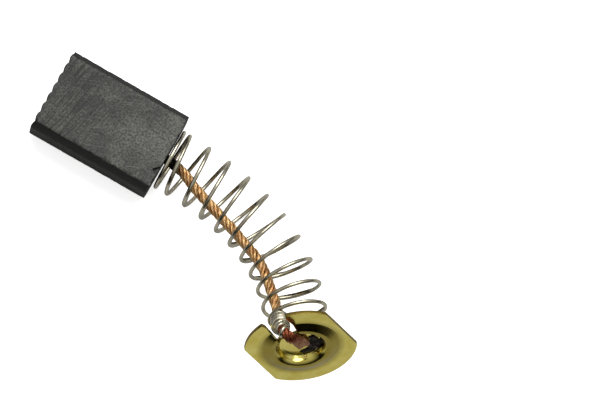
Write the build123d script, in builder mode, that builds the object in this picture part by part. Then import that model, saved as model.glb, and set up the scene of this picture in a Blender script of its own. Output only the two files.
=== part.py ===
from build123d import *
from math import atan2, ceil, cos, pi, radians, sin, tan
import os

# Carbon brush of a small power tool: graphite block, copper shunt, bent spring and brass cap.
# Millimetres. The block lies on its lower broad face at z = 0, the origin is the middle of
# that face, X runs along the block to the spring end and Y across it.

# Block
block_length = 12.0
block_width = 8.0
block_thickness = 6.0
bevel_width = 0.57
bevel_height = 1.05

# Rounded ridges across the contact end, which wear away as the brush beds in
ridge_pitch = 1.02
ridge_depth = 0.18
ridge_shift = 0.22

# Fine slanted grooves in both broad faces, over the contact half
groove_pitch = 0.5
groove_width = 0.14
groove_depth = 0.05
groove_lean = 11.5
groove_field = 7.6

# Chip broken from the upper rear edge
chip_place = -1.8
chip_width = 0.9
chip_length = 0.55
chip_depth = 0.5

# Shunt and its root in the block; its section has as many sides as cord_sides
shunt_diameter = 1.0
cord_sides = 12
root_depth = 3.2
root_bore = 1.7
root_clearance = 0.01
root_straight = 1.1

# Places of the shunt inside the spring: how far along the spring's axis, then how far across
# and above it, both as shares of the room at its side
cord_places = (
    (0.16, -0.46, 0),
    (0.33, -0.73, 0),
    (0.47, -0.77, 0),
    (0.60, -0.66, 0.05),
    (0.72, -0.78, 0.27),
)

# Spring: turns closed against the block, then open ones, then the last one above the shunt.
# The wire is drawn as short straight runs with an eight-sided section.
wire_diameter = 0.36
wire_sides = 8
points_per_turn = 18
coil_diameter = 6.0
closed_turns = 0.8
closed_gap = 0.03
easing_turns = 0.7
coil_pitch = 2.05
coil_end_angle = 145.7
coil_end_gap = 2.91

# Line of the spring's axis, from the middle of the block's rear face to the middle of the cap
reach_forward = 18.95
reach_aside = 9.34
reach_up = 3.49
leaving_handle = 12.4
landing_handle = 6.3
cap_heading = 55.6
cap_rise = 29.5

# Grip coil, the tail of the spring wound tight on the shunt
grip_pitch = 0.42
grip_clearance = 0.03
grip_slack = 0.13
grip_easing = 0.8
grip_run = 1.35
grip_end_gap = 0.38
blend_from = -0.35
blend_to = 0.45

# Cap, with a flat punched off each side
cap_diameter = 10.2
flat_cut = 0.85
cap_corner = 0.3
cap_sheet = 0.35
cap_turn = 31.0
bead_outer = 3.4
bead_inner = 2.75
bead_height = 0.22
pocket_diameter = 4.12
pocket_depth = 0.9
pocket_draft = 0.12
bend_radius = 0.12
slot_clearance = 0.36
slot_root = 1.5
mouth_width = 2.9
mouth_depth = 0.55

# Arch of the shunt over the end of the slot
arch_reach = 3.8
arch_shift = 0.08
arch_foot = 0.1
arch_lean = 0.3
arch_rise = 0.72
arch_crest = 0.93
arch_run = 0.99
arch_landing = 0.1

# Tail of the shunt, pressed square and welded to the floor of the pocket
tail_length = 1.5
tail_width = 1.5
tail_excess = 0.04
tail_corner = 0.2

os.makedirs("parts", exist_ok=True)

wire_radius = wire_diameter / 2
shunt_radius = shunt_diameter / 2
coil_radius = (coil_diameter - wire_diameter) / 2
grip_radius = shunt_radius + wire_radius + grip_clearance
rear_face = block_length / 2
block_middle = block_thickness / 2
root_centre = Vector(rear_face, 0, block_middle)


def beside(path, distance, across, above):
    """Point at a distance along a path, moved level across it and then above it."""
    forward = path.tangent_at(distance, PositionMode.LENGTH)
    side = Vector(0, 0, 1).cross(forward).normalized()
    rise = forward.cross(side)
    return path.position_at(distance, PositionMode.LENGTH) + side * across + rise * above


def travel(turns, first_pitch, next_pitch, easing):
    """Distance covered in some turns, while the pitch changes evenly over the easing turns."""
    changing = min(max(turns, 0), easing)
    changed = max(turns - easing, 0)
    return first_pitch * turns + (next_pitch - first_pitch) * (changing**2 / (2 * easing) + changed)


def bend_radii(points):
    """Radius of each corner of a route, as large as its two runs allow."""
    radii = []
    for before, corner, after in zip(points, points[1:], points[2:]):
        arriving = corner - before
        leaving = after - corner
        half_turn = radians(arriving.get_angle(leaving)) / 2
        radii.append(0.45 * min(arriving.length, leaving.length) / tan(half_turn))
    return radii


# Frame of the cap: outer face in the plane, slot along its Y, outward normal
cap_normal = Vector(
    cos(radians(cap_rise)) * cos(radians(cap_heading)),
    -cos(radians(cap_rise)) * sin(radians(cap_heading)),
    sin(radians(cap_rise)),
)
cap_centre = root_centre + Vector(reach_forward, -reach_aside, reach_up)
level = Vector(0, 0, 1).cross(cap_normal).normalized()
steep = cap_normal.cross(level)
cap_plane = Plane(
    origin=cap_centre,
    x_dir=level * cos(radians(cap_turn)) + steep * sin(radians(cap_turn)),
    z_dir=cap_normal,
)

# Axis of the spring, bent as the brush lies
with BuildLine() as axis_line:
    Bezier(
        root_centre,
        root_centre + Vector(leaving_handle, 0, 0),
        cap_centre - cap_normal * landing_handle,
        cap_centre,
    )
spring_axis = axis_line.line.edges()[0]

# The open turns fill the length left between the closed turns and the gap behind the cap
closed_pitch = wire_diameter + closed_gap
coil_end = spring_axis.length - coil_end_gap
closed_length = wire_radius + closed_pitch * closed_turns
opened_length = closed_length + travel(easing_turns, closed_pitch, coil_pitch, easing_turns)
coil_turns = closed_turns + easing_turns + (coil_end - opened_length) / coil_pitch

# Route of the shunt: out of the block, along the inner side of the bend, up to the last turn
# of the spring, through the slot and down into the pocket
side_room = coil_radius - wire_radius - shunt_radius
grip_room = coil_radius - grip_radius - grip_slack
tail_thickness = shunt_diameter + tail_excess
tail_middle = -pocket_depth + tail_thickness / 2
grip_point = beside(
    spring_axis,
    coil_end,
    grip_room * cos(radians(coil_end_angle)),
    grip_room * sin(radians(coil_end_angle)),
)
slot_point = cap_plane.from_local_coords(Vector(arch_shift, arch_reach, arch_foot))
grip_way = (slot_point - grip_point).normalized()
route = [
    root_centre - Vector(root_depth, 0, 0),
    root_centre + Vector(root_straight, 0, 0),
    *[
        beside(spring_axis, share * spring_axis.length, across * side_room, above * side_room)
        for share, across, above in cord_places
    ],
    grip_point - grip_way * grip_run,
    slot_point,
    cap_plane.from_local_coords(Vector(0, arch_reach - arch_lean, arch_foot + arch_rise)),
    cap_plane.from_local_coords(Vector(0, arch_reach - arch_run, arch_foot + arch_crest)),
    cap_plane.from_local_coords(Vector(0, tail_length / 2 + arch_landing, tail_middle)),
    cap_plane.from_local_coords(Vector(0, 0, tail_middle)),
]
shunt_radii = bend_radii(route)
with BuildLine() as shunt_line:
    FilletPolyline(*route, radius=shunt_radii)
shunt_path = shunt_line.wires()[0]
print("shunt bend radii, mm:", [round(radius, 2) for radius in shunt_radii])
print("shunt length, mm:", round(shunt_path.length, 2))


# Graphite block: bevelled section, ridged contact end, grooved faces, bore for the shunt
with BuildPart() as carbon_block:
    ridge_count = ceil(block_width / ridge_pitch) + 1
    ridges_from = -ridge_count * ridge_pitch / 2 + ridge_shift
    ridges_to = ridges_from + ridge_count * ridge_pitch
    notch_line = -block_length / 2 + ridge_depth
    with BuildSketch() as plan:
        with BuildLine():
            for ridge in range(ridge_count):
                SagittaArc(
                    (notch_line, ridges_from + ridge * ridge_pitch),
                    (notch_line, ridges_from + (ridge + 1) * ridge_pitch),
                    ridge_depth,
                )
            Polyline(
                (notch_line, ridges_to),
                (rear_face, ridges_to),
                (rear_face, ridges_from),
                (notch_line, ridges_from),
            )
        make_face()
    extrude(amount=block_thickness)
    with BuildSketch(Plane.YZ.offset(-block_length / 2)):
        with BuildLine():
            Polyline(
                (0, 0),
                (block_width / 2 - bevel_width, 0),
                (block_width / 2, bevel_height),
                (block_width / 2, block_thickness - bevel_height),
                (block_width / 2 - bevel_width, block_thickness),
                (0, block_thickness),
            )
            mirror(about=Plane.YZ)
        make_face()
    extrude(amount=block_length, mode=Mode.INTERSECT)
    with BuildSketch(Plane.YZ.offset(rear_face)):
        with Locations((0, block_middle)):
            Circle(root_bore / 2)
    extrude(amount=-root_depth, mode=Mode.SUBTRACT)
    with BuildSketch(Plane.XY.offset(block_thickness)):
        Polygon(
            (rear_face, chip_place - chip_width / 2),
            (rear_face, chip_place + chip_width / 2),
            (rear_face - chip_length, chip_place - chip_width / 6),
            align=None,
        )
    extrude(amount=-chip_depth, mode=Mode.SUBTRACT)
    # Each groove is a long V across the block, leaning towards the spring end
    lean = radians(groove_lean)
    groove_way = Vector(-sin(lean), -cos(lean), 0)
    groove_span = groove_pitch * cos(lean)
    groove_count = int(groove_field / groove_pitch)
    groove_section = Plane(
        origin=(-block_length / 2 + groove_field / 2, 0, 0),
        x_dir=(cos(lean), -sin(lean), 0),
        z_dir=groove_way,
    )
    with BuildSketch(groove_section):
        for face_height, inward in ((0, 1), (block_thickness, -1)):
            for groove in range(groove_count):
                across = (groove - (groove_count - 1) / 2) * groove_span
                Polygon(
                    (across - groove_width / 2, face_height),
                    (across + groove_width / 2, face_height),
                    (across, face_height + inward * groove_depth),
                    align=None,
                )
    extrude(amount=block_width, both=True, mode=Mode.SUBTRACT)
carbon_block.part.label = "carbon_block"
export_step(carbon_block.part, "parts/carbon_block.step")


# Copper powder tamped round the shunt, which holds it in the bore
with BuildPart() as tamped_plug:
    with BuildSketch(Plane.YZ.offset(rear_face)):
        with Locations((0, block_middle)):
            Circle(root_bore / 2)
            Circle(shunt_radius + root_clearance, mode=Mode.SUBTRACT)
    extrude(amount=-root_depth)
tamped_plug.part.label = "tamped_plug"
export_step(tamped_plug.part, "parts/tamped_plug.step")


# Shunt: a round braided cord, with its far end pressed square for the weld
tail_plane = Plane(
    origin=cap_plane.from_local_coords(Vector(0, 0, -pocket_depth)),
    x_dir=cap_plane.x_dir,
    z_dir=cap_normal,
)
with BuildPart() as shunt:
    with BuildSketch(Plane(origin=route[0], z_dir=shunt_path.tangent_at(0))):
        RegularPolygon(shunt_radius, cord_sides)
    sweep(path=shunt_path)
    with BuildSketch(tail_plane):
        RectangleRounded(tail_width, tail_length, tail_corner)
    extrude(amount=tail_thickness)
shunt.part.label = "shunt"
export_step(shunt.part, "parts/shunt.step")


# Cap: pressed from one sheet, with a raised bead, a sunk pocket, two flats and a slot
profile_plane = Plane(
    origin=cap_centre,
    x_dir=cap_plane.x_dir,
    z_dir=-cap_plane.y_dir,
)
pocket_radius = pocket_diameter / 2
floor_radius = pocket_radius - pocket_draft
half_sheet = cap_sheet / 2
slot_width = 2 * (grip_radius + wire_radius) + slot_clearance
with BuildPart() as contact_cap:
    with BuildSketch(profile_plane):
        with BuildLine():
            FilletPolyline(
                (0, -pocket_depth - half_sheet),
                (floor_radius + half_sheet, -pocket_depth - half_sheet),
                (pocket_radius + half_sheet, bead_height - half_sheet),
                (bead_inner, bead_height - half_sheet),
                (bead_outer, -half_sheet),
                (cap_diameter / 2, -half_sheet),
                radius=bend_radius + half_sheet,
            )
        trace(line_width=cap_sheet)
    revolve(axis=Axis(cap_centre, cap_normal))
    with BuildSketch(cap_plane):
        Rectangle(cap_diameter - 2 * flat_cut, cap_diameter)
    extrude(amount=cap_diameter / 2, both=True, mode=Mode.INTERSECT)
    fillet(contact_cap.edges().filter_by(Axis(cap_centre, cap_normal)), cap_corner)
    with BuildSketch(cap_plane):
        with BuildLine():
            Polyline(
                (slot_width / 2, slot_root),
                (slot_width / 2, cap_diameter / 2 - mouth_depth),
                (mouth_width / 2, cap_diameter / 2 + mouth_depth),
                (-mouth_width / 2, cap_diameter / 2 + mouth_depth),
                (-slot_width / 2, cap_diameter / 2 - mouth_depth),
                (-slot_width / 2, slot_root),
                close=True,
            )
        make_face()
    extrude(amount=cap_diameter / 2, both=True, mode=Mode.SUBTRACT)
contact_cap.part.label = "contact_cap"
export_step(contact_cap.part, "parts/contact_cap.step")


# Spring: closed against the block, open along the bend, then drawn in and wound on the shunt
def spiral(path, distance, radius, angle):
    """Point on a circle round a path, at an angle from the level side of the path."""
    return beside(path, distance, radius * cos(angle), radius * sin(angle))


def direction_about(way, outward):
    """Angle of a direction round a way, from the level side of that way."""
    side = Vector(0, 0, 1).cross(way).normalized()
    return atan2(outward.dot(way.cross(side)), outward.dot(side))


grip_touch = shunt_path.closest_points(grip_point)[0]
grip_start = shunt_path.length * shunt_path.param_at_point(grip_touch)
grip_length = (slot_point - grip_point).length - grip_end_gap
drawn_length = travel(grip_easing, coil_pitch, grip_pitch, grip_easing)
grip_turns = grip_easing + (grip_length - drawn_length) / grip_pitch
coil_outward = grip_point - spring_axis.position_at(coil_end, PositionMode.LENGTH)
grip_angle = direction_about(grip_way, coil_outward)
wire_points = []
for step in range(round((coil_turns + grip_turns) * points_per_turn) + 1):
    turns = step / points_per_turn
    gripped = turns - coil_turns
    blend = min(max((gripped - blend_from) / (blend_to - blend_from), 0), 1)
    blend = blend * blend * (3 - 2 * blend)
    along_axis = wire_radius + closed_pitch * closed_turns
    along_axis += travel(turns - closed_turns, closed_pitch, coil_pitch, easing_turns)
    wide = spiral(
        spring_axis,
        min(along_axis, spring_axis.length),
        coil_radius,
        radians(coil_end_angle) + 2 * pi * gripped,
    )
    along_shunt = grip_start + travel(gripped, coil_pitch, grip_pitch, grip_easing)
    narrow = spiral(
        shunt_path,
        max(along_shunt, 0),
        grip_radius,
        grip_angle + 2 * pi * gripped,
    )
    wire_points.append(wide * (1 - blend) + narrow * blend)
with BuildPart() as spring:
    with BuildLine() as wire_line:
        Polyline(*wire_points)
    with BuildSketch(Plane(origin=wire_points[0], z_dir=wire_points[1] - wire_points[0])):
        RegularPolygon(wire_radius, wire_sides)
    sweep(path=wire_line.wires()[0], transition=Transition.RIGHT)
spring.part.label = "spring"
export_step(spring.part, "parts/spring.step")
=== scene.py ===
import bpy
from math import atan2, cos, pi, radians, sin
from mathutils import Matrix, Vector, noise


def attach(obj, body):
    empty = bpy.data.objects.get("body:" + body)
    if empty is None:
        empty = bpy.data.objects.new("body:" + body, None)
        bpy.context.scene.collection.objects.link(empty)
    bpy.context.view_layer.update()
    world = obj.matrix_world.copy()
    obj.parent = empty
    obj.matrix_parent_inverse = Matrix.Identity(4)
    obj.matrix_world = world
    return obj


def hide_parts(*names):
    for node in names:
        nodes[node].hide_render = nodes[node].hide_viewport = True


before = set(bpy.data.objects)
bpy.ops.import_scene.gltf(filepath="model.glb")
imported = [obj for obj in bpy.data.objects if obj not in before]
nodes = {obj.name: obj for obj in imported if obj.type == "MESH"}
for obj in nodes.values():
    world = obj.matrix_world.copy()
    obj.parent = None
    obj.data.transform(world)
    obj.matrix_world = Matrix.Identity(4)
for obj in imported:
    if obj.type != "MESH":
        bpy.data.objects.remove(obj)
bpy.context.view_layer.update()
# Lengths are in mm and times this, apart from the near limit of the view, the floor and the lamp
mm = 0.001

# Camera: it looks down on the brush a little from its -Y side, through a long lens, and is
# rolled so that the block runs down to the right.
view_tilt = radians(8.6)
view_roll = radians(29.8)
view_lens = 400.0
nearest_seen = 0.05
pixels_per_mm = 11.08
picture_width = 600
view_middle = Vector((18.33, 2.66, 3.40)) * mm

bpy.ops.object.select_all(action="DESELECT")
toward_camera = Vector((0, -sin(view_tilt), cos(view_tilt)))
across_block = Vector((0, cos(view_tilt), sin(view_tilt)))
along_block = Vector((1, 0, 0))
picture_right = along_block * cos(view_roll) + across_block * sin(view_roll)
picture_up = across_block * cos(view_roll) - along_block * sin(view_roll)
camera_data = bpy.data.cameras.new("camera")
camera_data.lens = view_lens
camera_data.clip_start = nearest_seen
distance = picture_width * view_lens / (camera_data.sensor_width * pixels_per_mm) * mm
camera = bpy.data.objects.new("camera", camera_data)
bpy.context.scene.collection.objects.link(camera)
axes = Matrix((picture_right, picture_up, toward_camera)).transposed().to_4x4()
camera.matrix_world = Matrix.Translation(view_middle + toward_camera * distance) @ axes
bpy.context.scene.camera = camera


# Floor: a sheet of white card under one big soft lamp, which the camera sees as plain white.
# The object sees it as light grey card that darkens further off, in a room that is bright
# above and dark along the horizon, so that the metals have dark edges.
floor_width = 1.6
floor_white = "F9F9F9"
floor_grey = "C4C4C2"
floor_far = "101010"
floor_roughness = 0.9
floor_glow = 0.66
card_middle = Vector((20, -6, 0)) * mm
card_near = 26.0
card_far = 60.0
tooth_size = 0.4
tooth_depth = 0.01
lamp_width = 0.75
lamp_place = Vector((-0.02, 0.5, 0.85))
lamp_watts = 8.6
bright_side = Vector((-0.1, 0.3, 0.95)).normalized()
room_dark = "0E0E0E"
room_bright = "CFCFCF"
dark_until = 0.05
bright_from = 0.6
# Sockets of a Mix node for its colours, whose names it also gives to other sockets
first_colour = 6
second_colour = 7
mixed_colour = 2


def colour(code):
    """Linear colour of an sRGB hex code."""
    channels = [int(code[start:start + 2], 16) / 255 for start in (0, 2, 4)]
    return [c / 12.92 if c <= 0.04045 else ((c + 0.055) / 1.055) ** 2.4 for c in channels] + [1]


def add_node(tree, kind, links=None, values=None, stops=None, **settings):
    """A node with its settings, its fixed and linked inputs, and the stops of its colours."""
    node = tree.nodes.new(kind)
    for name, value in settings.items():
        setattr(node, name, value)
    for name, value in (values or {}).items():
        node.inputs[name].default_value = value
    for name, source in (links or {}).items():
        tree.links.new(source, node.inputs[name])
    for index, (position, code) in enumerate((stops or {}).items()):
        elements = node.color_ramp.elements
        stop = elements[index] if index < len(elements) else elements.new(position)
        stop.position = position
        stop.color = colour(code)
    return node


def new_material(name):
    """A material, its node tree, its shader and its object coordinates in metres."""
    material = bpy.data.materials.new(name)
    material.use_nodes = True
    tree = material.node_tree
    place = add_node(tree, "ShaderNodeTexCoord").outputs["Object"]
    return material, tree, tree.nodes["Principled BSDF"], place


bpy.ops.mesh.primitive_plane_add(size=floor_width, location=(0, 0, 0))
floor = bpy.context.object
floor.name = "floor"

# White card: matt, with a faint tooth
card, tree, shader, place = new_material("white_card")
shader.inputs["Roughness"].default_value = floor_roughness
seen = add_node(tree, "ShaderNodeLightPath").outputs["Is Camera Ray"]
away = add_node(
    tree,
    "ShaderNodeVectorMath",
    {0: place},
    {1: card_middle},
    operation="DISTANCE",
)
far_share = add_node(
    tree,
    "ShaderNodeMapRange",
    {"Value": away.outputs["Value"]},
    {"From Min": card_near * mm, "From Max": card_far * mm},
)
grey = add_node(
    tree,
    "ShaderNodeMix",
    {"Factor": far_share.outputs["Result"]},
    {first_colour: colour(floor_grey), second_colour: colour(floor_far)},
    data_type="RGBA",
)
white = add_node(
    tree,
    "ShaderNodeMix",
    {"Factor": seen, first_colour: grey.outputs[mixed_colour]},
    {second_colour: colour(floor_white)},
    data_type="RGBA",
)
tree.links.new(white.outputs[mixed_colour], shader.inputs["Base Color"])
glow = add_node(tree, "ShaderNodeMath", {0: seen}, {1: floor_glow}, operation="MULTIPLY")
tree.links.new(glow.outputs["Value"], shader.inputs["Emission Strength"])
shader.inputs["Emission Color"].default_value = colour("FFFFFF")
tooth = add_node(
    tree,
    "ShaderNodeTexNoise",
    {"Vector": place},
    {"Scale": 1 / (tooth_size * mm)},
)
bump = add_node(
    tree,
    "ShaderNodeBump",
    {"Height": tooth.outputs["Fac"]},
    {"Strength": 0.1, "Distance": tooth_depth * mm},
)
tree.links.new(bump.outputs["Normal"], shader.inputs["Normal"])
floor.data.materials.append(card)

lamp_data = bpy.data.lights.new("softbox", "AREA")
lamp_data.size = lamp_width
lamp_data.energy = lamp_watts
lamp = bpy.data.objects.new("softbox", lamp_data)
bpy.context.scene.collection.objects.link(lamp)
lamp.location = lamp_place
lamp.rotation_euler = lamp_place.to_track_quat("Z", "Y").to_euler()

world = bpy.data.worlds.new("room")
world.use_nodes = True
bpy.context.scene.world = world
tree = world.node_tree
direction = add_node(tree, "ShaderNodeTexCoord").outputs["Generated"]
facing = add_node(
    tree,
    "ShaderNodeVectorMath",
    {0: direction},
    {1: bright_side},
    operation="DOT_PRODUCT",
)
ramp = add_node(
    tree,
    "ShaderNodeValToRGB",
    {"Fac": facing.outputs["Value"]},
    stops={dark_until: room_dark, bright_from: room_bright},
)
tree.links.new(ramp.outputs["Color"], tree.nodes["Background"].inputs["Color"])
bpy.context.scene.view_settings.view_transform = "Standard"


# Graphite block: one pressed and ground piece of carbon. Its edges are a little worn and
# crumbled, its broad faces are ground and scratched, and its sides are as pressed, with painted
# shade.
block_length = 12.0
block_width = 8.0
block_thickness = 6.0
bevel_width = 0.57
bevel_height = 1.05
merge_reach = 0.0005
grain_step = 0.075
wear_reach = 0.24
wear_depth = 0.085
wear_grain = 0.35
least_crumble = 0.35
crumble_swing = 1.5
pit_size = 0.5
pit_depth = 0.016
ground_upright = 0.8


def copy_of(node_name, name):
    """A copy of a CAD node with its doubled vertices merged, ready to be shaped."""
    mesh = nodes[node_name].data.copy()
    piece = bpy.data.objects.new(name, mesh)
    bpy.context.scene.collection.objects.link(piece)
    mesh.name = name
    mesh.materials.clear()
    bpy.ops.object.select_all(action="DESELECT")
    piece.select_set(True)
    bpy.context.view_layer.objects.active = piece
    bpy.ops.object.mode_set(mode="EDIT")
    bpy.ops.mesh.select_all(action="SELECT")
    bpy.ops.mesh.customdata_custom_splitnormals_clear()
    bpy.ops.mesh.remove_doubles(threshold=merge_reach * mm)
    bpy.ops.object.mode_set(mode="OBJECT")
    return piece


def apply_modifier(piece, kind, **settings):
    """Adds a modifier with its settings and applies it."""
    modifier = piece.modifiers.new(kind.lower(), kind)
    for name, value in settings.items():
        setattr(modifier, name, value)
    bpy.context.view_layer.objects.active = piece
    bpy.ops.object.modifier_apply(modifier=modifier.name)


def rough_noise(spot, layers):
    """Noise in layers, each with half the size and half the height of the one before."""
    return noise.fractal(spot, 1.0, 2.0, layers)


block = copy_of("carbon_block", "graphite_block")
apply_modifier(block, "REMESH", mode="VOXEL", voxel_size=grain_step * mm, use_smooth_shade=True)
slope = Vector((0, bevel_height, bevel_width)).normalized()
corner = Vector((0, block_width / 2 - bevel_width, block_thickness / 2))
walls = [
    (Vector((0, 0, 1)), block_thickness / 2),
    (Vector((0, 1, 0)), block_width / 2),
    (Vector((1, 0, 0)), block_length / 2),
    (slope, slope.dot(corner)),
]
normals = [vertex.normal.copy() for vertex in block.data.vertices]
for vertex, normal in zip(block.data.vertices, normals):
    spot = vertex.co / mm
    folded = Vector((abs(spot.x), abs(spot.y), abs(spot.z - block_thickness / 2)))
    # The second nearest wall is near only along an edge, where the wear is
    depths = sorted(offset - wall.dot(folded) for wall, offset in walls)
    worn = max(0, 1 - depths[1] / wear_reach)
    crumble = least_crumble + max(0, noise.noise(spot / wear_grain)) * crumble_swing
    pits = rough_noise(spot / pit_size, layers=3)
    vertex.co -= normal * (wear_depth * worn * worn * crumble + pit_depth * abs(pits)) * mm

# Ground graphite: dark grey with a mottled grain, fine leaning scratches, which fade towards
# the spring, and a few light marks across them
ground_roughness = 0.62
ground_dark = "494A44"
ground_light = "6E6F66"
mottle_size = 2.4
speck_dark = "6A6A68"
speck_light = "FFFFFF"
speck_size = 0.2
scratch_dark = "6C6C6A"
scratch_light = "D2D2D0"
scratch_lean = radians(-11.5)
scratch_width = 0.16
scratch_length = 2.5
scratched_from = 4.0
scratched_fully = -3.5
mark_colour = "9C9C98"
mark_lean = radians(-66)
mark_width = 0.14
mark_length = 3.2
mark_share = 0.3
ground, tree, shader, place = new_material("ground_graphite")
shader.inputs["Roughness"].default_value = ground_roughness
mottle = add_node(
    tree,
    "ShaderNodeTexNoise",
    {"Vector": place},
    {"Scale": 1 / (mottle_size * mm), "Detail": 3.0, "Roughness": 0.6},
)
grain = add_node(
    tree,
    "ShaderNodeTexNoise",
    {"Vector": place},
    {"Scale": 1 / (speck_size * mm), "Detail": 4.0, "Roughness": 0.7},
)
leaning = add_node(
    tree,
    "ShaderNodeMapping",
    {"Vector": place},
    {"Rotation": (0, 0, scratch_lean), "Scale": (scratch_width * mm, scratch_length * mm, mm)},
    vector_type="TEXTURE",
)
scratches = add_node(
    tree,
    "ShaderNodeTexNoise",
    {"Vector": leaning.outputs["Vector"]},
    {"Scale": 1.0, "Detail": 2.0, "Roughness": 0.5},
)
crossing = add_node(
    tree,
    "ShaderNodeMapping",
    {"Vector": place},
    {"Rotation": (0, 0, mark_lean), "Scale": (mark_width * mm, mark_length * mm, mm)},
    vector_type="TEXTURE",
)
marks = add_node(
    tree,
    "ShaderNodeTexNoise",
    {"Vector": crossing.outputs["Vector"]},
    {"Scale": 1.0, "Detail": 3.0, "Roughness": 0.6},
)
along = add_node(tree, "ShaderNodeSeparateXYZ", {"Vector": place}).outputs["X"]
scratched_end = add_node(
    tree,
    "ShaderNodeMapRange",
    {"Value": along},
    {
        "From Min": scratched_from * mm,
        "From Max": scratched_fully * mm,
        "To Min": 0.1,
        "To Max": 1.0,
    },
)
base = add_node(
    tree,
    "ShaderNodeValToRGB",
    {"Fac": mottle.outputs["Fac"]},
    stops={0.38: ground_dark, 0.62: ground_light},
)
specks = add_node(
    tree,
    "ShaderNodeValToRGB",
    {"Fac": grain.outputs["Fac"]},
    stops={0.39: speck_dark, 0.62: speck_light},
)
grained = add_node(
    tree,
    "ShaderNodeMix",
    {first_colour: base.outputs["Color"], second_colour: specks.outputs["Color"]},
    {"Factor": 1.0},
    data_type="RGBA",
    blend_type="MULTIPLY",
)
lines = add_node(
    tree,
    "ShaderNodeValToRGB",
    {"Fac": scratches.outputs["Fac"]},
    stops={0.36: scratch_dark, 0.56: scratch_light},
)
lined = add_node(
    tree,
    "ShaderNodeMix",
    {
        "Factor": scratched_end.outputs["Result"],
        first_colour: grained.outputs[mixed_colour],
        second_colour: lines.outputs["Color"],
    },
    data_type="RGBA",
    blend_type="MULTIPLY",
)
light_marks = add_node(
    tree,
    "ShaderNodeMapRange",
    {"Value": marks.outputs["Fac"]},
    {"From Min": 0.6, "From Max": 0.74, "To Max": mark_share},
)
marked = add_node(
    tree,
    "ShaderNodeMix",
    {"Factor": light_marks.outputs["Result"], first_colour: lined.outputs[mixed_colour]},
    {second_colour: colour(mark_colour)},
    data_type="RGBA",
)
tree.links.new(marked.outputs[mixed_colour], shader.inputs["Base Color"])
bump = add_node(
    tree,
    "ShaderNodeBump",
    {"Height": grain.outputs["Fac"]},
    {"Strength": 0.6, "Distance": 0.03 * mm},
)
bump = add_node(
    tree,
    "ShaderNodeBump",
    {"Height": scratches.outputs["Fac"], "Normal": bump.outputs["Normal"]},
    {"Strength": 0.4, "Distance": 0.03 * mm},
)
tree.links.new(bump.outputs["Normal"], shader.inputs["Normal"])

# Pressed graphite: darker as it left the mould and as painted shade, with faint drag lines along
# the block
pressed_roughness = 0.62
pressed_specular = 0.25
# Painted shade: these darker tones of the bevels and sides
pressed_shade_dark = "141413"
pressed_shade_light = "222120"
drag_length = 4
drag_width = 0.15
pressed_grain = 0.15
pressed, tree, shader, place = new_material("pressed_shaded_graphite")
shader.inputs["Roughness"].default_value = pressed_roughness
shader.inputs["Specular IOR Level"].default_value = pressed_specular
drawn = add_node(
    tree,
    "ShaderNodeMapping",
    {"Vector": place},
    {"Scale": (1 / (drag_length * mm), 1 / (drag_width * mm), 1 / (drag_width * mm))},
)
drag = add_node(
    tree,
    "ShaderNodeTexNoise",
    {"Vector": drawn.outputs["Vector"]},
    {"Scale": 1.0, "Detail": 3.0},
)
grain = add_node(
    tree,
    "ShaderNodeTexNoise",
    {"Vector": place},
    {"Scale": 1 / (pressed_grain * mm), "Detail": 3.0},
)
shades = add_node(
    tree,
    "ShaderNodeValToRGB",
    {"Fac": drag.outputs["Fac"]},
    stops={0.3: pressed_shade_dark, 0.7: pressed_shade_light},
)
tree.links.new(shades.outputs["Color"], shader.inputs["Base Color"])
bump = add_node(
    tree,
    "ShaderNodeBump",
    {"Height": grain.outputs["Fac"]},
    {"Strength": 0.5, "Distance": 0.02 * mm},
)
tree.links.new(bump.outputs["Normal"], shader.inputs["Normal"])

block.data.materials.append(ground)
block.data.materials.append(pressed)
# Painted shade: the bevels and sides take the darker material, the broad faces the lighter one
for face in block.data.polygons:
    face.material_index = 0 if abs(face.normal.z) > ground_upright else 1
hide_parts("carbon_block")
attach(block, "root")


# Tamped plug: copper powder packed round the cord in the bore of the block. It holds the cord
# there and carries its current, and its face is dull and dark.
powder_metallic = 0.6
powder_roughness = 0.85
powder_light = "8A5634"
powder_dark = "2A1A12"
powder_grain = 0.06
powder, tree, shader, place = new_material("tamped_copper_powder")
shader.inputs["Roughness"].default_value = powder_roughness
shader.inputs["Metallic"].default_value = powder_metallic
grains = add_node(
    tree,
    "ShaderNodeTexVoronoi",
    {"Vector": place},
    {"Scale": 1 / (powder_grain * mm)},
)
shades = add_node(
    tree,
    "ShaderNodeValToRGB",
    {"Fac": grains.outputs["Distance"]},
    stops={0.0: powder_light, 1.0: powder_dark},
)
tree.links.new(shades.outputs["Color"], shader.inputs["Base Color"])
bump = add_node(
    tree,
    "ShaderNodeBump",
    {"Height": grains.outputs["Distance"]},
    {"Strength": 0.8, "Distance": 0.03 * mm},
)
tree.links.new(bump.outputs["Normal"], shader.inputs["Normal"])
nodes["tamped_plug"].data.materials.clear()
nodes["tamped_plug"].data.materials.append(powder)


# Spring: hard-drawn steel wire, round, wound cold and left bare. It follows the coil of the
# CAD wire, whose straight runs are smoothed to round turns here.
wire_swell = 0.0195
wire_levels = 2
side_corners = 4
flat_angle = radians(1.0)
smooth_angle = radians(40)

spring = copy_of("spring", "spring_wire")
bpy.ops.object.mode_set(mode="EDIT")
bpy.ops.mesh.select_all(action="SELECT")
bpy.ops.mesh.dissolve_limited(angle_limit=flat_angle)
bpy.ops.mesh.select_all(action="DESELECT")
bpy.ops.object.mode_set(mode="OBJECT")
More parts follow.
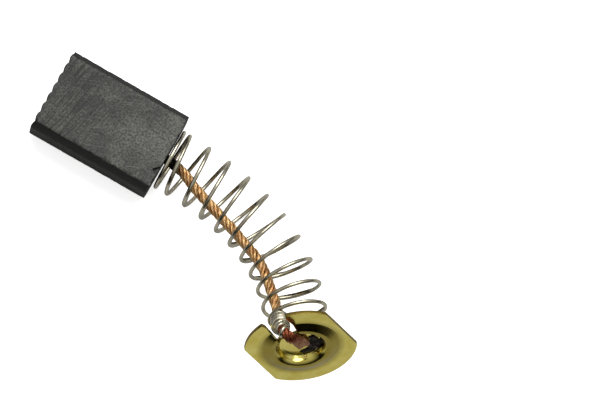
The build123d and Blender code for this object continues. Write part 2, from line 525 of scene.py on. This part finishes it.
# Only the two cut ends have more corners than the sides of the runs, and they stay sharp
for face in spring.data.polygons:
    face.select = len(face.vertices) > side_corners
wire_ends = [face.center.copy() for face in spring.data.polygons if face.select]
bpy.ops.object.mode_set(mode="EDIT")
bpy.ops.mesh.select_mode(type="FACE")
bpy.ops.transform.edge_crease(value=1.0)
bpy.ops.mesh.select_all(action="SELECT")
bpy.ops.transform.shrink_fatten(value=wire_swell * mm)
bpy.ops.object.mode_set(mode="OBJECT")
apply_modifier(spring, "SUBSURF", levels=wire_levels, render_levels=wire_levels)
bpy.ops.object.shade_smooth_by_angle(angle=smooth_angle)

# Drawn steel: grey and satin from the die, with a fine grain and patches of faint oxide
steel_roughness = 0.24
steel_dark = "A29C8A"
steel_light = "C6C0AA"
oxide_size = 1.1
steel_grain = 0.07
steel, tree, shader, place = new_material("drawn_steel")
shader.inputs["Metallic"].default_value = 1.0
shader.inputs["Roughness"].default_value = steel_roughness
tone = add_node(
    tree,
    "ShaderNodeTexNoise",
    {"Vector": place},
    {"Scale": 1 / (oxide_size * mm), "Detail": 4.0},
)
fine = add_node(
    tree,
    "ShaderNodeTexNoise",
    {"Vector": place},
    {"Scale": 1 / (steel_grain * mm), "Detail": 2.0},
)
shades = add_node(
    tree,
    "ShaderNodeValToRGB",
    {"Fac": tone.outputs["Fac"]},
    stops={0.35: steel_dark, 0.65: steel_light},
)
tree.links.new(shades.outputs["Color"], shader.inputs["Base Color"])
bump = add_node(
    tree,
    "ShaderNodeBump",
    {"Height": fine.outputs["Fac"]},
    {"Strength": 0.25, "Distance": 0.01 * mm},
)
tree.links.new(bump.outputs["Normal"], shader.inputs["Normal"])
spring.data.materials.append(steel)
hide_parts("spring")
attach(spring, "root")


# Shunt: a bare cord of seven twisted bundles of fine copper wire. It runs from the bore of the
# block, inside the spring, over the end of the cap's slot and down to the weld in its pocket.
cap_heading = radians(55.6)
cap_rise = radians(29.5)
cap_turn = radians(31.0)
cap_origin = Vector((24.95, -9.34, 6.49)) * mm
cap_ahead = Vector((cos(cap_heading), -sin(cap_heading), 0))
cap_out = cap_ahead * cos(cap_rise) + Vector((0, 0, 1)) * sin(cap_rise)
cap_level = Vector((0, 0, 1)).cross(cap_out).normalized()
cap_right = cap_level * cos(cap_turn) + cap_out.cross(cap_level) * sin(cap_turn)
cap_axes = Matrix((cap_right, cap_out.cross(cap_right), cap_out)).transposed()
shunt_route = (
    (2.80, 0.00, 3.00),
    (7.10, 0.00, 3.00),
    (9.56, -1.14, 3.02),
    (13.12, -2.28, 3.10),
    (15.89, -3.24, 3.28),
    (18.35, -4.25, 3.72),
    (19.99, -5.86, 4.70),
    (21.62, -7.37, 5.02),
    (22.52, -9.14, 9.41),
    (23.30, -9.40, 9.71),
    (23.90, -9.54, 9.34),
    (24.42, -8.76, 7.12),
    (24.76, -9.07, 6.30),
)
route_steps = 32
bundle_count = 7
wires_per_bundle = 7
bundle_ring = 0.34
bundle_lay = 3.8
wire_ring = 0.1
wire_lay = 2.1
strand_radius = 0.05
strand_roundness = 1
strand_step = 0.13
strand_stray = 0.04
stray_length = 1.1
strand_seed = 4
# Steps through the noise, which only keep the strays of the bundles and wires apart
bundle_shift = 3.7
wire_shift = 1.9
loose_shift = 5.3
loose_row = 40
thin_run = 2.2
thin_share = 0.45

route_data = bpy.data.curves.new("shunt_route", "CURVE")
route_data.dimensions = "3D"
route_line = route_data.splines.new("NURBS")
route_line.points.add(len(shunt_route) - 1)
for point, spot in zip(route_line.points, shunt_route):
    point.co = (*(Vector(spot) * mm), 1)
route_line.order_u = 3
route_line.use_endpoint_u = True
route_line.resolution_u = route_steps
route = bpy.data.objects.new("shunt_route", route_data)
read_line = bpy.data.meshes.new_from_object(route)
dense = [vertex.co.copy() for vertex in read_line.vertices]
bpy.data.meshes.remove(read_line)
bpy.data.objects.remove(route)


def even_points(line, step):
    """Points at even steps along a line of close points."""
    points = [line[0].copy()]
    left = step
    for before, after in zip(line, line[1:]):
        run = (after - before).length
        done = 0
        while run - done >= left:
            done += left
            points.append(before.lerp(after, done / run))
            left = step
        left -= run - done
    return points


def strand_mesh(name, line, strands, radius, roundness):
    """Joined wires laid round a line: each strand gives its offset across the line by place."""
    wires = bpy.data.curves.new(name, "CURVE")
    wires.dimensions = "3D"
    wires.bevel_depth = radius
    wires.bevel_resolution = roundness
    wires.use_fill_caps = True
    side = Vector((0, 0, 1))
    frames = []
    for index, point in enumerate(line):
        way = line[min(index + 1, len(line) - 1)] - line[max(index - 1, 0)]
        side = (side - way * side.dot(way) / way.length_squared).normalized()
        frames.append((point, side, way.normalized().cross(side)))
    for strand in strands:
        spline = wires.splines.new("POLY")
        spline.points.add(len(line) - 1)
        for index, (point, side, rise) in enumerate(frames):
            across, above = strand(index)
            spline.points[index].co = (*(point + side * across + rise * above), 1)
    piece = bpy.data.objects.new(name, wires)
    bpy.context.scene.collection.objects.link(piece)
    bpy.ops.object.select_all(action="DESELECT")
    piece.select_set(True)
    bpy.context.view_layer.objects.active = piece
    bpy.ops.object.convert(target="MESH")
    bpy.ops.object.shade_smooth()
    return bpy.context.object


def cord_strand(bundle, wire):
    """Offset of one wire of one bundle by its place along the cord, in metres."""
    def offset(index):
        along_cord = index * strand_step
        far = along_cord / stray_length
        wire_place = Vector((far, bundle * bundle_shift, wire * wire_shift))
        bundle_place = Vector((far, bundle * loose_shift, loose_row))
        stray = noise.noise_vector(wire_place) * strand_stray
        loose = noise.noise_vector(bundle_place) * strand_stray
        turn = 2 * pi * (along_cord / bundle_lay + bundle / bundle_count)
        twist = turn - 2 * pi * (along_cord / wire_lay + wire / wires_per_bundle)
        near_end = min(max(1 - (cord_length - along_cord) / thin_run, 0), 1)
        ring = bundle_ring * (1 - thin_share * near_end)
        across = ring * cos(turn) + wire_ring * cos(twist) + stray.x + loose.x
        above = ring * sin(turn) + wire_ring * sin(twist) + stray.y + loose.y
        return across * mm, above * mm
    return offset


# The vector noise is moved by a random draw, which is from the clock unless it has a seed
noise.seed_set(strand_seed)
cord_line = even_points(dense, strand_step * mm)
cord_length = (len(cord_line) - 1) * strand_step
strands = [cord_strand(b, w) for b in range(bundle_count) for w in range(wires_per_bundle)]
cord = strand_mesh("shunt_cord", cord_line, strands, strand_radius * mm, strand_roundness)

# Bare copper: orange with brown tarnish in patches, near black at its root as painted shade
# inside the spring's closed turns, and charred red-brown by the weld at its other end
copper_roughness = 0.28
copper_dark = "AF7A4A"
copper_light = "E8C48E"
tarnish_size = 0.7
copper_grain = 0.05
# Painted shade: near black along the first part of the cord, inside the spring's closed turns
root_shade_colour = "1C1816"
root_shade_from = 8.1
root_shade_fully = 7.2
char_colour = "8A4E34"
char_from = -1.6
char_fully = 0.1
copper, tree, shader, place = new_material("bare_copper")
shader.inputs["Metallic"].default_value = 1.0
shader.inputs["Roughness"].default_value = copper_roughness
tarnish = add_node(
    tree,
    "ShaderNodeTexNoise",
    {"Vector": place},
    {"Scale": 1 / (tarnish_size * mm), "Detail": 5.0, "Roughness": 0.65},
)
shades = add_node(
    tree,
    "ShaderNodeValToRGB",
    {"Fac": tarnish.outputs["Fac"]},
    stops={0.32: copper_dark, 0.6: copper_light},
)
fine = add_node(
    tree,
    "ShaderNodeTexNoise",
    {"Vector": place},
    {"Scale": 1 / (copper_grain * mm), "Detail": 2.0},
)
bump = add_node(
    tree,
    "ShaderNodeBump",
    {"Height": fine.outputs["Fac"]},
    {"Strength": 0.2, "Distance": 0.008 * mm},
)
tree.links.new(bump.outputs["Normal"], shader.inputs["Normal"])
along = add_node(tree, "ShaderNodeSeparateXYZ", {"Vector": place}).outputs["X"]
root_shade = add_node(
    tree,
    "ShaderNodeMapRange",
    {"Value": along},
    {"From Min": root_shade_from * mm, "From Max": root_shade_fully * mm},
)
root_shaded = add_node(
    tree,
    "ShaderNodeMix",
    {"Factor": root_shade.outputs["Result"], first_colour: shades.outputs["Color"]},
    {second_colour: colour(root_shade_colour)},
    data_type="RGBA",
)
above_cap = add_node(
    tree,
    "ShaderNodeVectorMath",
    {0: place},
    {1: cap_out},
    operation="DOT_PRODUCT",
)
cap_height = cap_origin.dot(cap_out)
end_char = add_node(
    tree,
    "ShaderNodeMapRange",
    {"Value": above_cap.outputs["Value"]},
    {"From Min": cap_height + char_from * mm, "From Max": cap_height + char_fully * mm},
)
charred = add_node(
    tree,
    "ShaderNodeMix",
    {"Factor": end_char.outputs["Result"], first_colour: root_shaded.outputs[mixed_colour]},
    {second_colour: colour(char_colour)},
    data_type="RGBA",
)
tree.links.new(charred.outputs[mixed_colour], shader.inputs["Base Color"])
cord.data.materials.append(copper)
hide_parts("shunt")
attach(cord, "root")


# Grip coil: the last turns of the same steel wire, wound on round the cord from where the CAD
# wire ends to the top of the cord's arch over the slot, which they hold.
grip_wire_radius = 0.18
grip_wire_roundness = 4
grip_pitch = 0.42
grip_turns = 3.0
grip_close = 0.22
grip_step = 0.02

fine_line = even_points(dense, grip_step * mm)
arch_top = Vector(max(shunt_route, key=lambda spot: spot[2])) * mm
grip_start = min(wire_ends, key=lambda end: (end - arch_top).length)
first = min(range(len(fine_line)), key=lambda index: (fine_line[index] - grip_start).length)
grip_line = fine_line[first:first + round(grip_turns * grip_pitch / grip_step)]
grip_way = (grip_line[1] - grip_line[0]).normalized()
grip_side = (Vector((0, 0, 1)) - grip_way * grip_way.z).normalized()
from_axis = grip_start - grip_line[0]
grip_radius = from_axis.length
grip_phase = atan2(from_axis.dot(grip_way.cross(grip_side)), from_axis.dot(grip_side))


def grip_strand(index):
    """Offset of the gripping wire by its place along the cord, in metres."""
    turn = grip_phase + 2 * pi * index * grip_step / grip_pitch
    radius = grip_radius * (1 - grip_close * index / len(grip_line))
    return radius * cos(turn), radius * sin(turn)


grip = strand_mesh(
    "grip_coil_end",
    grip_line,
    [grip_strand],
    grip_wire_radius * mm,
    grip_wire_roundness,
)
grip.data.materials.append(steel)
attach(grip, "root")


# Cap: pressed from one brass sheet, with a flange, a bead and a sunk pocket, and punched along
# two flats and a slot. Its cut edges are slightly rounded.
edge_round = 0.05
edge_angle = radians(55)
rim_radius = 5.1
bead_inner = 2.75
bead_outer = 3.4
cut_upright = 0.35
# Changes to the CAD sheet, each with the heights or radii where it starts and is full
wall_shift_low = -0.04
wall_shift_high = 0.04
wall_heights = (-0.8, -0.1)
wall_least_radius = 1.7
wall_fading = (bead_inner, 2.3)
floor_lift = 0.4
floor_heights = (-0.35, -0.65)
bead_lift = 0.05
bead_underside = -0.36
bead_rising = (2.0, 2.4)
bead_falling = (3.3, 2.9)
foot_shift = 0.2
foot_rising = (3.0, 3.25)
foot_falling = (4.4, 3.5)


def part_way(value, start, end):
    """How far a value has come from start to end: 0 before it leaves, and 1 once it is there."""
    return min(max((value - start) / (end - start), 0), 1)


cap = copy_of("contact_cap", "brass_cap")
bpy.ops.object.mode_set(mode="EDIT")
bpy.ops.mesh.select_all(action="SELECT")
bpy.ops.mesh.dissolve_limited(angle_limit=flat_angle)
bpy.ops.object.mode_set(mode="OBJECT")
cap_matrix = Matrix.Translation(cap_origin) @ cap_axes.to_4x4()
into_cap = cap_matrix.inverted()
# The pocket is drawn to a shallow cone: its floor is lifted and its wall leans outwards. The
# bead is a little higher, and its foot runs further out.
for vertex in cap.data.vertices:
    spot = (into_cap @ vertex.co) / mm
    radius = spot.xy.length
    lean = (wall_shift_high - wall_shift_low) * part_way(spot.z, *wall_heights)
    if radius > wall_least_radius:
        spot.xy *= 1 + (wall_shift_low + lean) * part_way(radius, *wall_fading) / radius
    if radius < bead_inner:
        spot.z += floor_lift * part_way(spot.z, *floor_heights)
    if spot.z > bead_underside:
        spot.z += bead_lift * min(part_way(radius, *bead_rising), part_way(radius, *bead_falling))
    foot_share = min(part_way(radius, *foot_rising), part_way(radius, *foot_falling))
    spot.xy *= 1 + foot_shift * foot_share / max(radius, bead_inner)
    vertex.co = cap_matrix @ (spot * mm)
apply_modifier(
    cap,
    "BEVEL",
    width=edge_round * mm,
    segments=2,
    limit_method="ANGLE",
    angle_limit=edge_angle,
)
bpy.ops.object.shade_smooth_by_angle(angle=smooth_angle)
apply_modifier(cap, "WEIGHTED_NORMAL", weight=100, keep_sharp=True)

# Pressed brass: olive yellow, satin from handling, with a painted dark reflection in a brown ring
# round the bead, and darkened round the weld by scorch and painted shade
brass_dark = "CBBB5A"
brass_light = "DFD278"
brass_smoothest = 0.13
brass_roughest = 0.21
handling_size = 1.5
brass_grain = 0.12
# Painted shade: a dark ring round the bead, which stands for the dark reflection of its slopes
bead_ring_shade_colour = "6A5A10"
bead_ring_shade_share = 0.7
bead_ring_shade_inner = bead_inner - 0.68
bead_ring_shade_full_inner = bead_inner - 0.42
bead_ring_shade_outer = bead_outer + 0.7
# Scorch and painted shade: dark patches round the flux on one side of the pocket floor, where it
# lies in shadow
scorch_and_shade_colour = "2E2412"
scorch_and_shade_middle = Vector((1.0, -0.9, -0.5))
scorch_and_shade_reach = 1.3
scorch_and_shade_full = 0.5 * scorch_and_shade_reach
scorch_and_shade_size = 0.5
brass, tree, shader, place = new_material("pressed_brass")
shader.inputs["Metallic"].default_value = 1.0
in_cap = add_node(
    tree,
    "ShaderNodeMapping",
    {"Vector": place},
    {"Location": cap_origin, "Rotation": cap_axes.to_euler()},
    vector_type="TEXTURE",
)
parts = add_node(tree, "ShaderNodeSeparateXYZ", {"Vector": in_cap.outputs["Vector"]})
flat = add_node(
    tree,
    "ShaderNodeCombineXYZ",
    {"X": parts.outputs["X"], "Y": parts.outputs["Y"]},
)
reach = add_node(
    tree,
    "ShaderNodeVectorMath",
    {0: flat.outputs["Vector"]},
    operation="LENGTH",
)
handled = add_node(
    tree,
    "ShaderNodeTexNoise",
    {"Vector": place},
    {"Scale": 1 / (handling_size * mm), "Detail": 5.0, "Roughness": 0.6},
)
tones = add_node(
    tree,
    "ShaderNodeValToRGB",
    {"Fac": handled.outputs["Fac"]},
    stops={0.35: brass_dark, 0.65: brass_light},
)
ring = add_node(
    tree,
    "ShaderNodeMapRange",
    {"Value": reach.outputs["Value"]},
    {"From Max": rim_radius * mm},
)
# Painted shade: the ring's mask, full on the bead and fading inside and outside it
bead_ring_shade_mask = add_node(
    tree,
    "ShaderNodeValToRGB",
    {"Fac": ring.outputs["Result"]},
    stops={
        bead_ring_shade_inner / rim_radius: "000000",
        bead_ring_shade_full_inner / rim_radius: "FFFFFF",
        bead_outer / rim_radius: "FFFFFF",
        bead_ring_shade_outer / rim_radius: "000000",
    },
)
bead_ring_shade = add_node(
    tree,
    "ShaderNodeMath",
    {0: bead_ring_shade_mask.outputs["Color"]},
    {1: bead_ring_shade_share},
    operation="MULTIPLY",
)
bead_ring_shaded = add_node(
    tree,
    "ShaderNodeMix",
    {"Factor": bead_ring_shade.outputs["Value"], first_colour: tones.outputs["Color"]},
    {second_colour: colour(bead_ring_shade_colour)},
    data_type="RGBA",
)
scorch_and_shade_noise = add_node(
    tree,
    "ShaderNodeTexNoise",
    {"Vector": place},
    {"Scale": 1 / (scorch_and_shade_size * mm), "Detail": 5.0, "Roughness": 0.7},
)
from_scorch_and_shade = add_node(
    tree,
    "ShaderNodeVectorMath",
    {0: in_cap.outputs["Vector"]},
    {1: scorch_and_shade_middle * mm},
    operation="DISTANCE",
)
near_scorch_and_shade = add_node(
    tree,
    "ShaderNodeMapRange",
    {"Value": from_scorch_and_shade.outputs["Value"]},
    {"From Min": scorch_and_shade_reach * mm, "From Max": scorch_and_shade_full * mm},
)
scorch_and_shade = add_node(
    tree,
    "ShaderNodeMath",
    {0: scorch_and_shade_noise.outputs["Fac"], 1: near_scorch_and_shade.outputs["Result"]},
    operation="MULTIPLY",
)
scorch_and_shade_share = add_node(
    tree,
    "ShaderNodeMapRange",
    {"Value": scorch_and_shade.outputs["Value"]},
    {"From Min": 0.3, "From Max": 0.55},
)
# Mixes in the scorch and painted shade
scorched_and_shaded = add_node(
    tree,
    "ShaderNodeMix",
    {"Factor": scorch_and_shade_share.outputs["Result"], first_colour: bead_ring_shaded.outputs[mixed_colour]},
    {second_colour: colour(scorch_and_shade_colour)},
    data_type="RGBA",
)
tree.links.new(scorched_and_shaded.outputs[mixed_colour], shader.inputs["Base Color"])
roughness = add_node(
    tree,
    "ShaderNodeMapRange",
    {"Value": handled.outputs["Fac"]},
    {"From Min": 0.3, "From Max": 0.7, "To Min": brass_smoothest, "To Max": brass_roughest},
)
tree.links.new(roughness.outputs["Result"], shader.inputs["Roughness"])
fine = add_node(
    tree,
    "ShaderNodeTexNoise",
    {"Vector": place},
    {"Scale": 1 / (brass_grain * mm), "Detail": 3.0},
)
bump = add_node(
    tree,
    "ShaderNodeBump",
    {"Height": fine.outputs["Fac"]},
    {"Strength": 0.15, "Distance": 0.01 * mm},
)
tree.links.new(bump.outputs["Normal"], shader.inputs["Normal"])
cap.data.materials.append(brass)

# Sheared brass: the cut edge of the sheet, rougher than its faces, with torn grain, and browner
# and darker, partly as painted shade that stands for the edge's dark reflection
sheared_roughness = 0.45
# Partly painted shade: the darker tones of the cut edge
sheared_shade_dark = "5C4A1C"
sheared_shade_light = "8E7C3A"
sheared_grain = 0.09
sheared_and_shaded, tree, shader, place = new_material("sheared_shaded_brass")
shader.inputs["Metallic"].default_value = 1.0
shader.inputs["Roughness"].default_value = sheared_roughness
torn = add_node(
    tree,
    "ShaderNodeTexNoise",
    {"Vector": place},
    {"Scale": 1 / (sheared_grain * mm), "Detail": 4.0, "Roughness": 0.7},
)
shades = add_node(
    tree,
    "ShaderNodeValToRGB",
    {"Fac": torn.outputs["Fac"]},
    stops={0.35: sheared_shade_dark, 0.65: sheared_shade_light},
)
tree.links.new(shades.outputs["Color"], shader.inputs["Base Color"])
bump = add_node(
    tree,
    "ShaderNodeBump",
    {"Height": torn.outputs["Fac"]},
    {"Strength": 0.5, "Distance": 0.02 * mm},
)
tree.links.new(bump.outputs["Normal"], shader.inputs["Normal"])
cap.data.materials.append(sheared_and_shaded)
# Painted shade in part: the cut edges take the darker sheared material
for face in cap.data.polygons:
    from_middle = face.center - cap_origin
    cut = abs(face.normal.dot(cap_out)) < cut_upright
    face.material_index = 1 if cut and from_middle.length > bead_outer * mm else 0
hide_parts("contact_cap")
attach(cap, "root")


# Weld: the end of the cord is pressed square and resistance-welded to the floor of the pocket.
# The strands show on top, brown from the heat, beside a lump of black flux and a few beads.
pocket_depth = 0.5
tail_long = 1.26
tail_high = 0.46
tail_bevel = 0.12
tail_place = Vector((0.2, 0.3, 0))
tail_step = 0.03
strand_pitch = 0.125
strand_relief = 0.03
strand_slant = 0.18
strand_wander = 0.12
wander_across = 1.5
wander_along = 1.2
wander_row = 7
tail_grain = 0.3
tail_relief = 0.03
# Each lump of flux and each bead by its centre in the cap's frame and its radii or radius
flux_lumps = (
    ((0.97, -0.92, -0.5), (0.7, 0.66, 0.3)),
    ((0.4, -1.32, -0.48), (0.5, 0.32, 0.22)),
    ((-0.35, -1.28, -0.5), (0.35, 0.24, 0.14)),
    ((1.28, -0.15, -0.5), (0.34, 0.5, 0.2)),
)
flux_swell = 0.45
bead_spots = (
    ((0.59, -1.74, -0.14), 0.09),
    ((0.3, -1.78, -0.2), 0.06),
    ((0.98, -1.56, -0.12), 0.06),
    ((-0.49, -1.66, -0.24), 0.1),
)
bead_swell = 0.15
knob_closeness = 1.6


def lump(centre, radii, swell):
    """A knobbly rounded lump in the cap's frame, by its centre and three radii in mm."""
    bpy.ops.mesh.primitive_ico_sphere_add(subdivisions=4, radius=1, location=(0, 0, 0))
    piece = bpy.context.object
    for vertex in piece.data.vertices:
        knobs = 1 + swell * rough_noise(vertex.co * knob_closeness + Vector(centre), layers=4)
        spot = Vector([share * radius for share, radius in zip(vertex.co, radii)]) * knobs
        vertex.co = (spot + Vector(centre)) * mm
    piece.data.transform(cap_matrix)
    return piece


def joined_lumps(name, places, swell):
    """Lumps joined to one smooth piece, from their centres and radii."""
    lumps = [lump(centre, radii, swell) for centre, radii in places]
    bpy.ops.object.select_all(action="DESELECT")
    for piece in lumps:
        piece.select_set(True)
    bpy.context.view_layer.objects.active = lumps[0]
    bpy.ops.object.join()
    joined = bpy.context.object
    joined.name = name
    bpy.ops.object.shade_smooth()
    return joined


bpy.ops.object.select_all(action="DESELECT")
bpy.ops.mesh.primitive_cube_add(size=1, location=(0, 0, 0))
tail = bpy.context.object
tail.name = "pressed_tail"
bpy.ops.transform.resize(value=(tail_long * mm, tail_long * mm, tail_high * mm))
bpy.ops.object.transform_apply(location=False, rotation=False, scale=True)
bpy.ops.object.mode_set(mode="EDIT")
bpy.ops.mesh.select_all(action="SELECT")
bpy.ops.mesh.bevel(offset=tail_bevel * mm, segments=3, affect="EDGES")
bpy.ops.object.mode_set(mode="OBJECT")
apply_modifier(tail, "REMESH", mode="VOXEL", voxel_size=tail_step * mm, use_smooth_shade=True)
normals = [vertex.normal.copy() for vertex in tail.data.vertices]
for vertex, normal in zip(tail.data.vertices, normals):
    spot = vertex.co / mm
    wander_place = Vector((spot.x * wander_across, spot.y * wander_along, wander_row))
    wander = noise.noise(wander_place) * strand_wander
    ridge = abs(sin(pi * (spot.x + strand_slant * spot.y + wander) / strand_pitch))
    rough = rough_noise(spot / tail_grain, layers=3)
    vertex.co += normal * (strand_relief * (ridge - 1) + tail_relief * rough) * mm
tail_lift = Vector((0, 0, tail_high / 2 - pocket_depth))
tail.data.transform(Matrix.Translation((tail_place + tail_lift) * mm))
tail.data.transform(cap_matrix)

# Heat-stained copper: dull red-brown in patches, darkened by oxide so that little metal shows
stain_metallic = 0.3
stain_roughness = 0.55
stain_dark = "5E3624"
stain_light = "C4946C"
stain_size = 0.35
stained, tree, shader, place = new_material("heat_stained_copper")
shader.inputs["Metallic"].default_value = stain_metallic
shader.inputs["Roughness"].default_value = stain_roughness
stain = add_node(
    tree,
    "ShaderNodeTexNoise",
    {"Vector": place},
    {"Scale": 1 / (stain_size * mm), "Detail": 5.0, "Roughness": 0.7},
)
shades = add_node(
    tree,
    "ShaderNodeValToRGB",
    {"Fac": stain.outputs["Fac"]},
    stops={0.34: stain_dark, 0.58: stain_light},
)
tree.links.new(shades.outputs["Color"], shader.inputs["Base Color"])
bump = add_node(
    tree,
    "ShaderNodeBump",
    {"Height": stain.outputs["Fac"]},
    {"Strength": 0.5, "Distance": 0.03 * mm},
)
tree.links.new(bump.outputs["Normal"], shader.inputs["Normal"])
tail.data.materials.append(stained)
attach(tail, "root")

# Burnt flux: black-brown and glassy, with a pitted skin
flux_roughness = 0.4
flux_specular = 0.3
flux_dark = "0E0A07"
flux_light = "2C1B10"
flux_pits = 0.14
flux = joined_lumps("burnt_flux", flux_lumps, flux_swell)
glassy, tree, shader, place = new_material("burnt_flux")
shader.inputs["Roughness"].default_value = flux_roughness
shader.inputs["Specular IOR Level"].default_value = flux_specular
pitted = add_node(
    tree,
    "ShaderNodeTexNoise",
    {"Vector": place},
    {"Scale": 1 / (flux_pits * mm), "Detail": 4.0, "Roughness": 0.7},
)
shades = add_node(
    tree,
    "ShaderNodeValToRGB",
    {"Fac": pitted.outputs["Fac"]},
    stops={0.4: flux_dark, 0.7: flux_light},
)
tree.links.new(shades.outputs["Color"], shader.inputs["Base Color"])
bump = add_node(
    tree,
    "ShaderNodeBump",
    {"Height": pitted.outputs["Fac"]},
    {"Strength": 0.7, "Distance": 0.05 * mm},
)
tree.links.new(bump.outputs["Normal"], shader.inputs["Normal"])
flux.data.materials.append(glassy)
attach(flux, "root")

# Spattered brass: small bright beads thrown by the weld
bead_roughness = 0.15
bead_dark = "B08A3A"
bead_light = "FFE9A0"
tinge_size = 0.1
beads = joined_lumps(
    "weld_beads",
    [(centre, (radius, radius, radius)) for centre, radius in bead_spots],
    bead_swell,
)
molten, tree, shader, place = new_material("weld_bead_brass")
shader.inputs["Metallic"].default_value = 1.0
shader.inputs["Roughness"].default_value = bead_roughness
tinge = add_node(
    tree,
    "ShaderNodeTexNoise",
    {"Vector": place},
    {"Scale": 1 / (tinge_size * mm), "Detail": 2.0},
)
shades = add_node(
    tree,
    "ShaderNodeValToRGB",
    {"Fac": tinge.outputs["Fac"]},
    stops={0.0: bead_dark, 1.0: bead_light},
)
tree.links.new(shades.outputs["Color"], shader.inputs["Base Color"])
beads.data.materials.append(molten)
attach(beads, "root")
